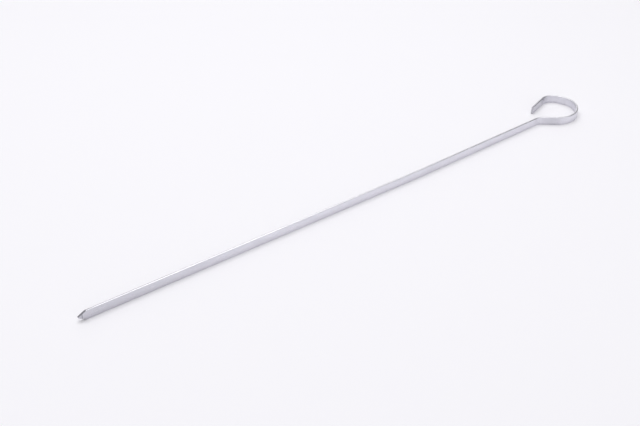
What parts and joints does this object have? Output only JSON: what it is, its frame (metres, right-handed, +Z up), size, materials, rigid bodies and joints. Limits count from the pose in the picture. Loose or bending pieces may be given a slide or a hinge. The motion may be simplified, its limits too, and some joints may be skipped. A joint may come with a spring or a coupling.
{
  "type": "kebab skewer",
  "caption": "Long flat steel skewer: ground V point, straight strip shank, and an open hanging eye with a turned-in free end.",
  "frame": {"origin": "on the surface that the skewer stands on, under the middle of its outline", "axes": "+X along the shank from the point to the eye, +Y to the side that the free end of the eye is on, +Z up across the width of the strip"},
  "size_m": [0.3258, 0.0266, 0.0048],
  "materials": {
    "steel": "satin stainless steel strip with a fine grain along its length"
  },
  "bodies": {
    "root": {"point": "steel", "blade": "steel", "rear": "steel", "eye": "steel", "tail": "steel"}
  },
  "joints": []
}
